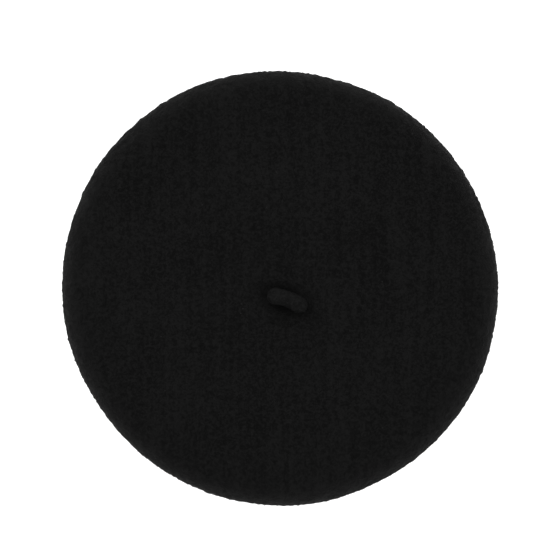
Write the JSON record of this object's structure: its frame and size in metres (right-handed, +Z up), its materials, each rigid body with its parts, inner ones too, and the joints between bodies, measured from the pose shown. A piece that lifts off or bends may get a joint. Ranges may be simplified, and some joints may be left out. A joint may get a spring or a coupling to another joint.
{
  "type": "beret",
  "caption": "Round black felted-wool beret with a rolled rim, a short bent stalk in the middle of its crown, a satin lining and a leather sweatband round its head opening.",
  "frame": {"origin": "middle of the flat ring that the beret rests on, level with the surface under it", "axes": "+Z up through the crown's middle, -Y to the front (the bottom edge of the reference view), +Y to the sweatband's back seam, +X to the right as seen from above"},
  "size_m": [0.28, 0.28, 0.0591],
  "materials": {
    "wool_felt": "matte",
    "stalk_felt": "matte",
    "black_thread": "matte",
    "lining_satin": "satin",
    "woven_label": "matte",
    "label_thread": "matte",
    "band_leather": "satin",
    "cotton_tape": "matte",
    "band_thread": "matte",
    "satin_label": "satin"
  },
  "bodies": {
    "hat": {"felt_shell": "wool_felt", "stalk_stitching": "black_thread", "lining_tip": "lining_satin", "lining_side": "lining_satin", "lining_stitching": "black_thread", "maker_label": "woven_label", "maker_label_stitching": "label_thread", "sweatband": "band_leather", "sweatband_back_tape": "cotton_tape", "sweatband_back_stitching": "band_thread", "sweatband_stitching": "band_thread"},
    "stalk": {"stalk": "stalk_felt"},
    "care_label": {"care_label": "satin_label"}
  },
  "joints": [
    {"name": "stalk_tilt", "type": "hinge", "parent": "hat", "child": "stalk", "pos_m": [-0.0022, -0.0056, 0.05209], "axis": [-0.309, -0.9511, 0], "range_deg": [0, 150], "stiffness_Nm_per_rad": 0.0005},
    {"name": "care_label_flap", "type": "hinge", "parent": "hat", "child": "care_label", "pos_m": [-0.08177, 0.04721, 0.011], "axis": [0.5, 0.866, 0], "range_deg": [0, 95]}
  ]
}
